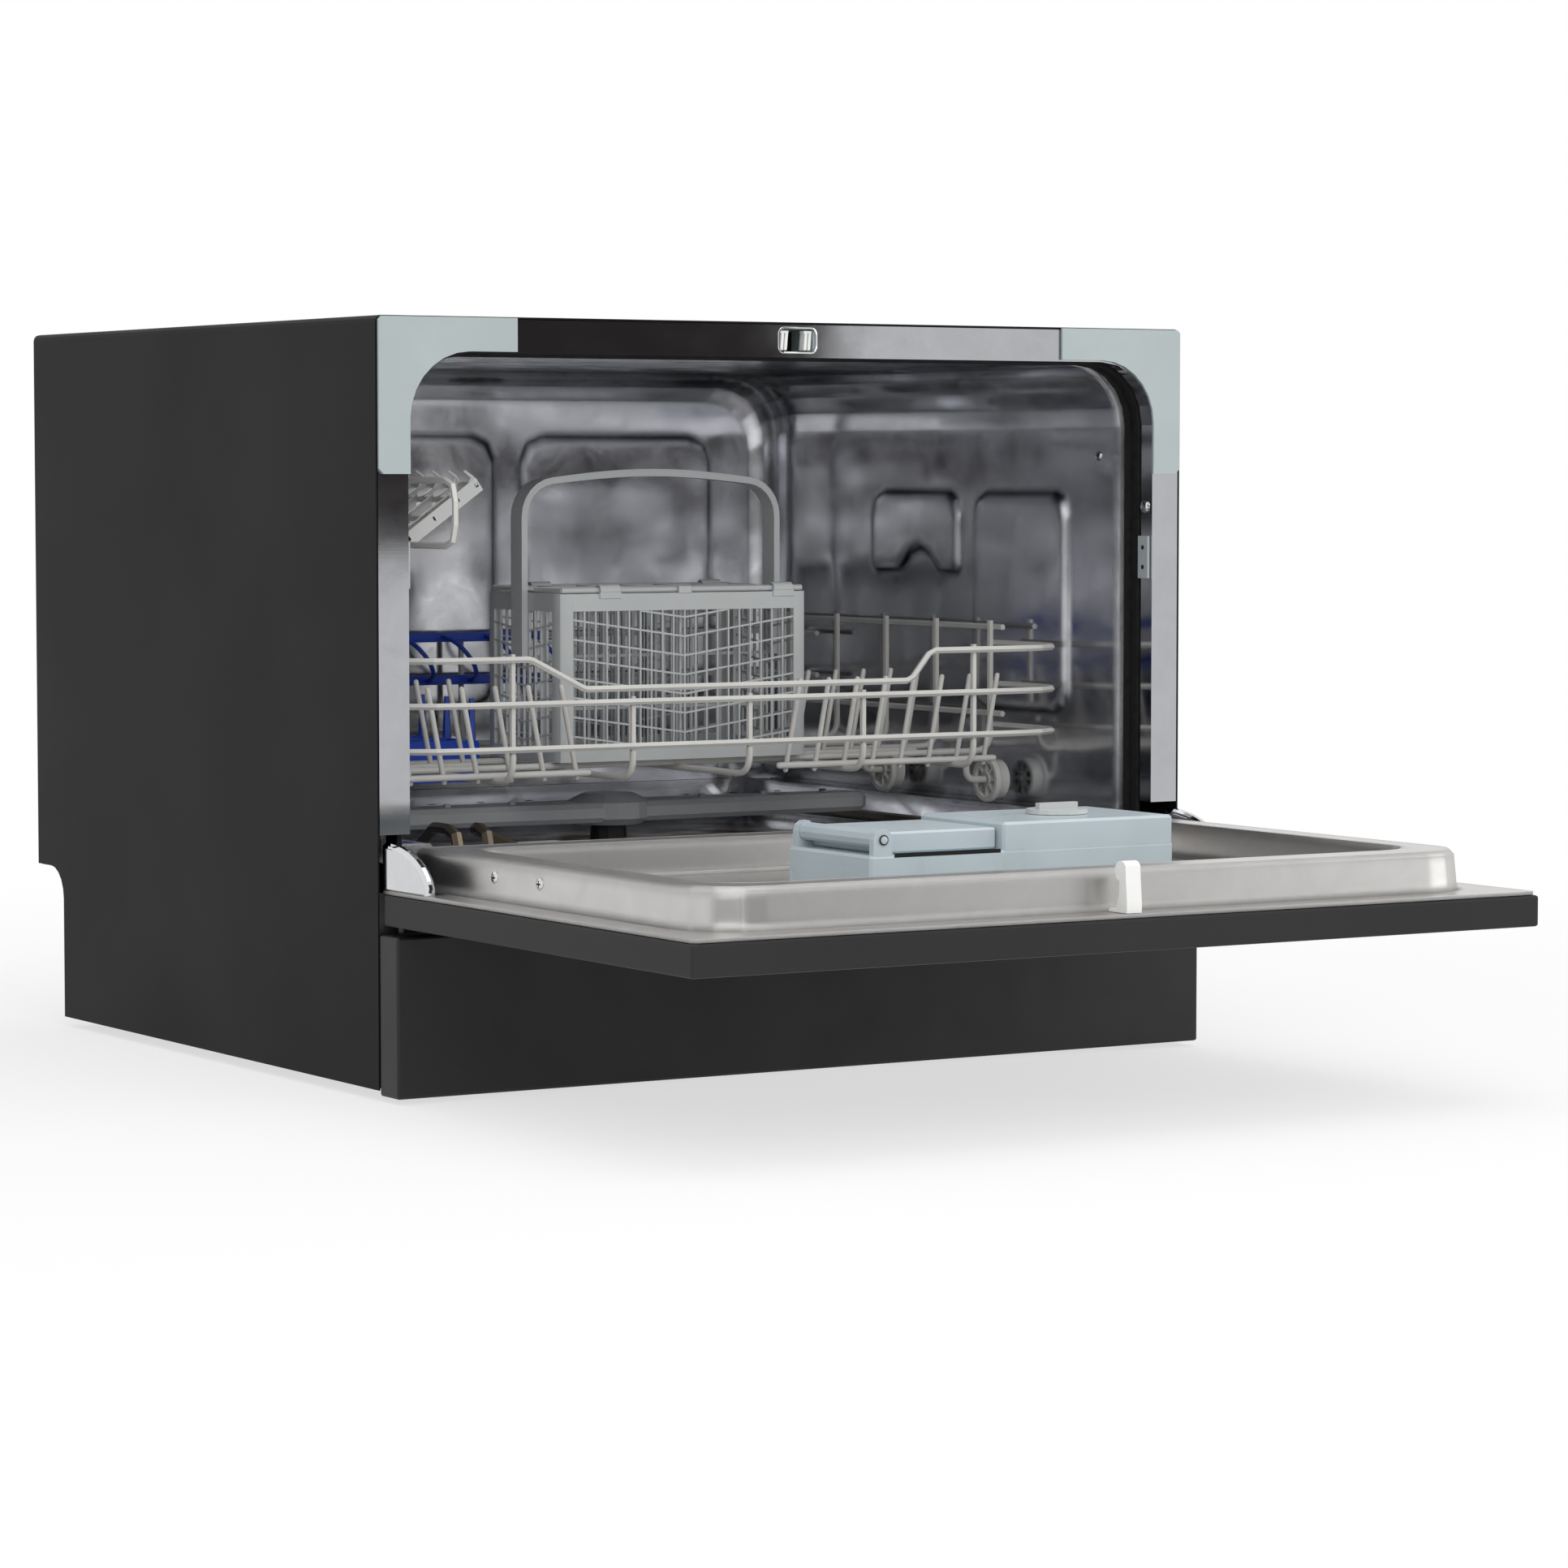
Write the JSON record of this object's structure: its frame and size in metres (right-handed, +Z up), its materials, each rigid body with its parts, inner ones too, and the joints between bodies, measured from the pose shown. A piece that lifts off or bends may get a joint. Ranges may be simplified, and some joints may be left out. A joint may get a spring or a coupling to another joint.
{
  "type": "countertop dishwasher",
  "caption": "Countertop dishwasher: black cabinet with a drop-down door, steel tub and a rolling wire basket with cup shelves and a lidded cutlery basket.",
  "frame": {"origin": "centre of the bounding box with the door open, at the level of the worktop", "axes": "+Z up, +Y from the door towards the back, +X to the right as seen from the front"},
  "size_m": [0.55, 0.8224, 0.438],
  "materials": {
    "black_enamel": "satin black enamel on sheet steel",
    "black_plastic": "matt black moulded plastic",
    "black_rubber": "matt black rubber",
    "polished_steel": "polished stainless sheet",
    "zinc_steel": "zinc-plated steel",
    "cover_plastic": "pale grey plastic",
    "rack_nylon": "warm grey nylon coating",
    "pale_plastic": "pale grey moulded plastic",
    "white_plastic": "white moulded plastic",
    "blue_plastic": "semi-gloss blue plastic",
    "dispenser_plastic": "semi-gloss grey-blue plastic",
    "glass_black": "gloss black plastic",
    "button_grey": "satin grey plastic",
    "board_green": "green circuit board",
    "heater_steel": "heat-stained steel tube"
  },
  "bodies": {
    "cabinet": {"outer_casing": "black_enamel", "rear_panel": "zinc_steel", "base_tray": "black_plastic", "plinth_panel": "black_plastic", "foot_front_left": "black_rubber", "foot_front_right": "black_rubber", "foot_rear_left": "black_rubber", "foot_rear_right": "black_rubber", "front_frame": "polished_steel", "corner_cover_left": "cover_plastic", "corner_cover_right": "cover_plastic", "tub": "polished_steel", "tub_floor": "polished_steel", "door_gasket": "black_rubber", "latch_housing": "white_plastic", "hinge_bracket_left": "zinc_steel", "hinge_bracket_right": "zinc_steel", "heating_element": "heater_steel", "sump": "black_plastic", "filter_plate": "polished_steel", "water_softener": "pale_plastic", "circulation_pump": "black_plastic", "drain_pump": "black_plastic", "inlet_valve": "white_plastic", "cable_gland": "black_plastic"},
    "filter": {"filter_cup": "blue_plastic"},
    "salt_lid": {"salt_cap": "white_plastic"},
    "arm": {"spray_arm": "rack_nylon"},
    "door": {"door_outer_panel": "black_enamel", "door_liner": "polished_steel", "control_fascia": "glass_black", "display_window": "glass_black", "control_board": "board_green", "hinge_leaf_left": "zinc_steel", "hinge_leaf_right": "zinc_steel", "hinge_cover_left": "polished_steel", "hinge_cover_right": "polished_steel", "latch_hook": "white_plastic", "dispenser_body": "dispenser_plastic"},
    "power": {"power_button": "button_grey"},
    "program": {"program_button": "button_grey"},
    "delay": {"delay_button": "button_grey"},
    "start": {"start_button": "button_grey"},
    "dispenser_flap": {"dispenser_lid": "dispenser_plastic"},
    "rinse_lid": {"rinse_aid_cap": "blue_plastic"},
    "basket": {"basket_frame": "rack_nylon", "basket_floor": "rack_nylon", "upper_frame": "rack_nylon", "plate_insert": "blue_plastic", "glass_insert": "blue_plastic"},
    "cutlery": {"cutlery_basket": "pale_plastic", "cutlery_handle": "pale_plastic"},
    "roller_front_left": {"wheel_front_left": "rack_nylon"},
    "roller_front_right": {"wheel_front_right": "rack_nylon"},
    "roller_rear_left": {"wheel_rear_left": "rack_nylon"},
    "roller_rear_right": {"wheel_rear_right": "rack_nylon"},
    "shelf_front": {"cup_shelf_front": "pale_plastic"},
    "shelf_rear": {"cup_shelf_rear": "pale_plastic"},
    "lid_front": {"cutlery_lid_front": "pale_plastic"},
    "lid_rear": {"cutlery_lid_rear": "pale_plastic"}
  },
  "joints": [
    {"name": "door_hinge", "type": "hinge", "parent": "cabinet", "child": "door", "pos_m": [0, -0.0818, 0.10805], "axis": [-1, 0, 0], "range_deg": [0, 90]},
    {"name": "basket_slide", "type": "slide", "parent": "cabinet", "child": "basket", "axis": [0, 1, 0], "range_m": [-0.368, 0]},
    {"name": "spray_arm_spin", "type": "hinge", "parent": "cabinet", "child": "arm", "pos_m": [0, 0.15625, 0.134], "axis": [0, 0, 1], "continuous": true},
    {"name": "filter_turn", "type": "hinge", "parent": "cabinet", "child": "filter", "pos_m": [0.095, 0.06625, 0.119], "axis": [0, 0, 1], "range_deg": [0, 90]},
    {"name": "salt_cap_turn", "type": "hinge", "parent": "cabinet", "child": "salt_lid", "pos_m": [-0.12, 0.04125, 0.119], "axis": [0, 0, 1], "range_deg": [0, 360]},
    {"name": "dispenser_lid_hinge", "type": "hinge", "parent": "door", "child": "dispenser_flap", "pos_m": [-0.0915, -0.26275, 0.1545], "axis": [0, -1, 0], "range_deg": [0, 90]},
    {"name": "rinse_cap_turn", "type": "hinge", "parent": "door", "child": "rinse_lid", "pos_m": [0.05, -0.26275, 0.161], "axis": [0, 0, 1], "range_deg": [0, 90]},
    {"name": "cup_shelf_front_fold", "type": "hinge", "parent": "basket", "child": "shelf_front", "pos_m": [-0.221, 0.08725, 0.3095], "axis": [0, -1, 0], "range_deg": [0, 45]},
    {"name": "cup_shelf_rear_fold", "type": "hinge", "parent": "basket", "child": "shelf_rear", "pos_m": [-0.221, 0.27225, 0.3095], "axis": [0, -1, 0], "range_deg": [0, 45]},
    {"name": "cutlery_lift", "type": "slide", "parent": "basket", "child": "cutlery", "axis": [0, 0, 1], "range_m": [0, 0.055]},
    {"name": "cutlery_lid_front_hinge", "type": "hinge", "parent": "cutlery", "child": "lid_front", "pos_m": [0, 0.06425, 0.2801], "axis": [1, 0, 0], "range_deg": [0, 95]},
    {"name": "cutlery_lid_rear_hinge", "type": "hinge", "parent": "cutlery", "child": "lid_rear", "pos_m": [0, 0.15025, 0.2801], "axis": [-1, 0, 0], "range_deg": [0, 95]},
    {"name": "wheel_front_left_spin", "type": "hinge", "parent": "basket", "child": "roller_front_left", "pos_m": [-0.236, 0.07725, 0.156], "axis": [1, 0, 0], "continuous": true},
    {"name": "wheel_rear_left_spin", "type": "hinge", "parent": "basket", "child": "roller_rear_left", "pos_m": [-0.236, 0.19925, 0.156], "axis": [1, 0, 0], "continuous": true},
    {"name": "wheel_front_right_spin", "type": "hinge", "parent": "basket", "child": "roller_front_right", "pos_m": [0.236, 0.07725, 0.156], "axis": [1, 0, 0], "continuous": true},
    {"name": "wheel_rear_right_spin", "type": "hinge", "parent": "basket", "child": "roller_rear_right", "pos_m": [0.236, 0.19925, 0.156], "axis": [1, 0, 0], "continuous": true},
    {"name": "power_press", "type": "slide", "parent": "door", "child": "power", "axis": [0, 0, 1], "range_m": [0, 0.0012], "stiffness_N_per_m": 300},
    {"name": "program_press", "type": "slide", "parent": "door", "child": "program", "axis": [0, 0, 1], "range_m": [0, 0.0012], "stiffness_N_per_m": 300},
    {"name": "delay_press", "type": "slide", "parent": "door", "child": "delay", "axis": [0, 0, 1], "range_m": [0, 0.0012], "stiffness_N_per_m": 300},
    {"name": "start_press", "type": "slide", "parent": "door", "child": "start", "axis": [0, 0, 1], "range_m": [0, 0.0012], "stiffness_N_per_m": 300}
  ],
  "couplings": [
    {"joint": "wheel_front_left_spin", "follows": "basket_slide", "rad_per_m": -68.027},
    {"joint": "wheel_rear_left_spin", "follows": "basket_slide", "rad_per_m": -68.027},
    {"joint": "wheel_front_right_spin", "follows": "basket_slide", "rad_per_m": -68.027},
    {"joint": "wheel_rear_right_spin", "follows": "basket_slide", "rad_per_m": -68.027}
  ]
}
